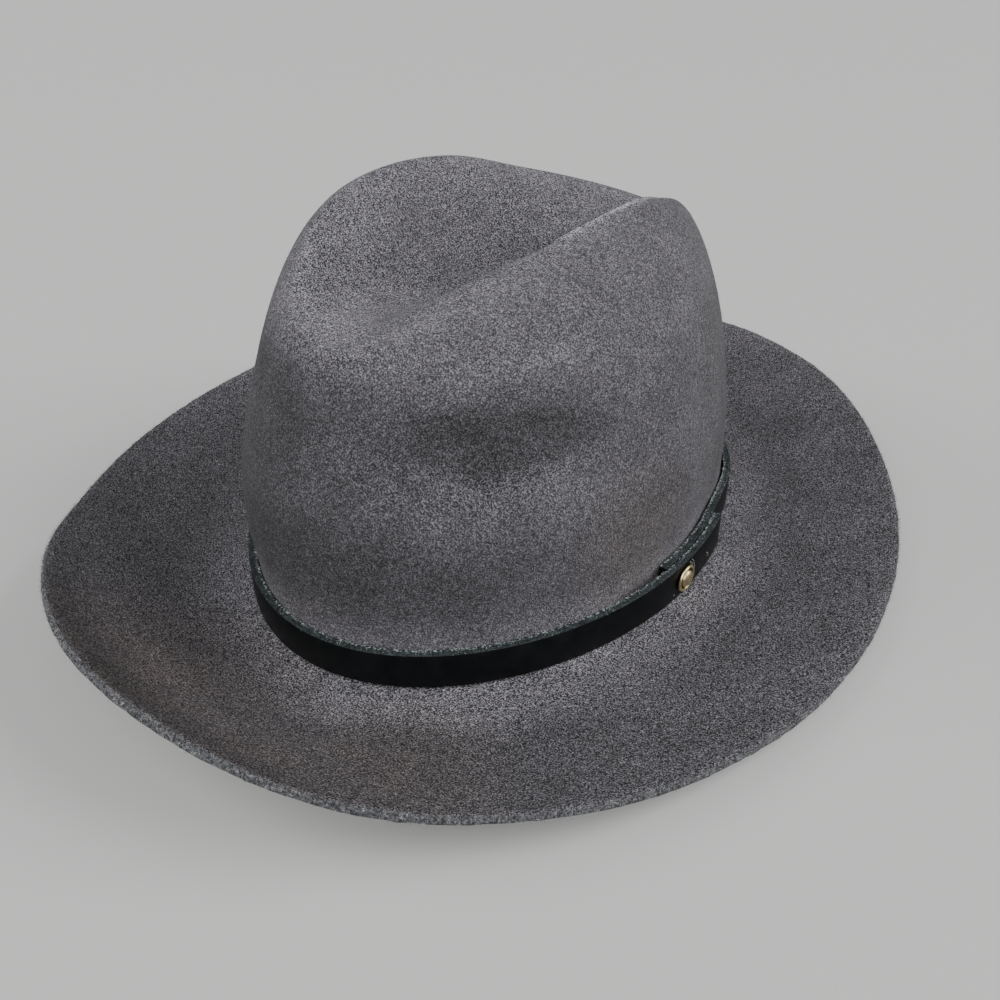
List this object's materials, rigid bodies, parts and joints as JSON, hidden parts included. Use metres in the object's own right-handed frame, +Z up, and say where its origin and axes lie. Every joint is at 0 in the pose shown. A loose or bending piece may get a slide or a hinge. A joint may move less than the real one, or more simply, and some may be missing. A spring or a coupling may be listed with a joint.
{
  "type": "floppy brim fedora",
  "caption": "Felt fedora with a long crease in the crown, a wide brim that turns up softly, a plain leather band lapped at one side and a round brass rivet in the lap.",
  "frame": {"origin": "on the surface the hat rests on, under the middle of the brim", "axes": "+Z up out of the crown, +Y to the back of the hat, -Y to the front, +X to the wearer's left, where the rivet is"},
  "size_m": [0.2957, 0.3517, 0.1244],
  "materials": {
    "felt": "blocked wool felt, dark warm grey with a fine salt and pepper nap, raw cut brim edge",
    "strap_leather": "black strap leather, smooth satin face, raw grey cut edges",
    "rivet_brass": "antique brass, dark in the groove round the dome"
  },
  "bodies": {
    "root": {"felt_body": "felt", "hat_band": "strap_leather", "rivet_cap": "rivet_brass", "rivet_post": "rivet_brass"}
  },
  "joints": []
}
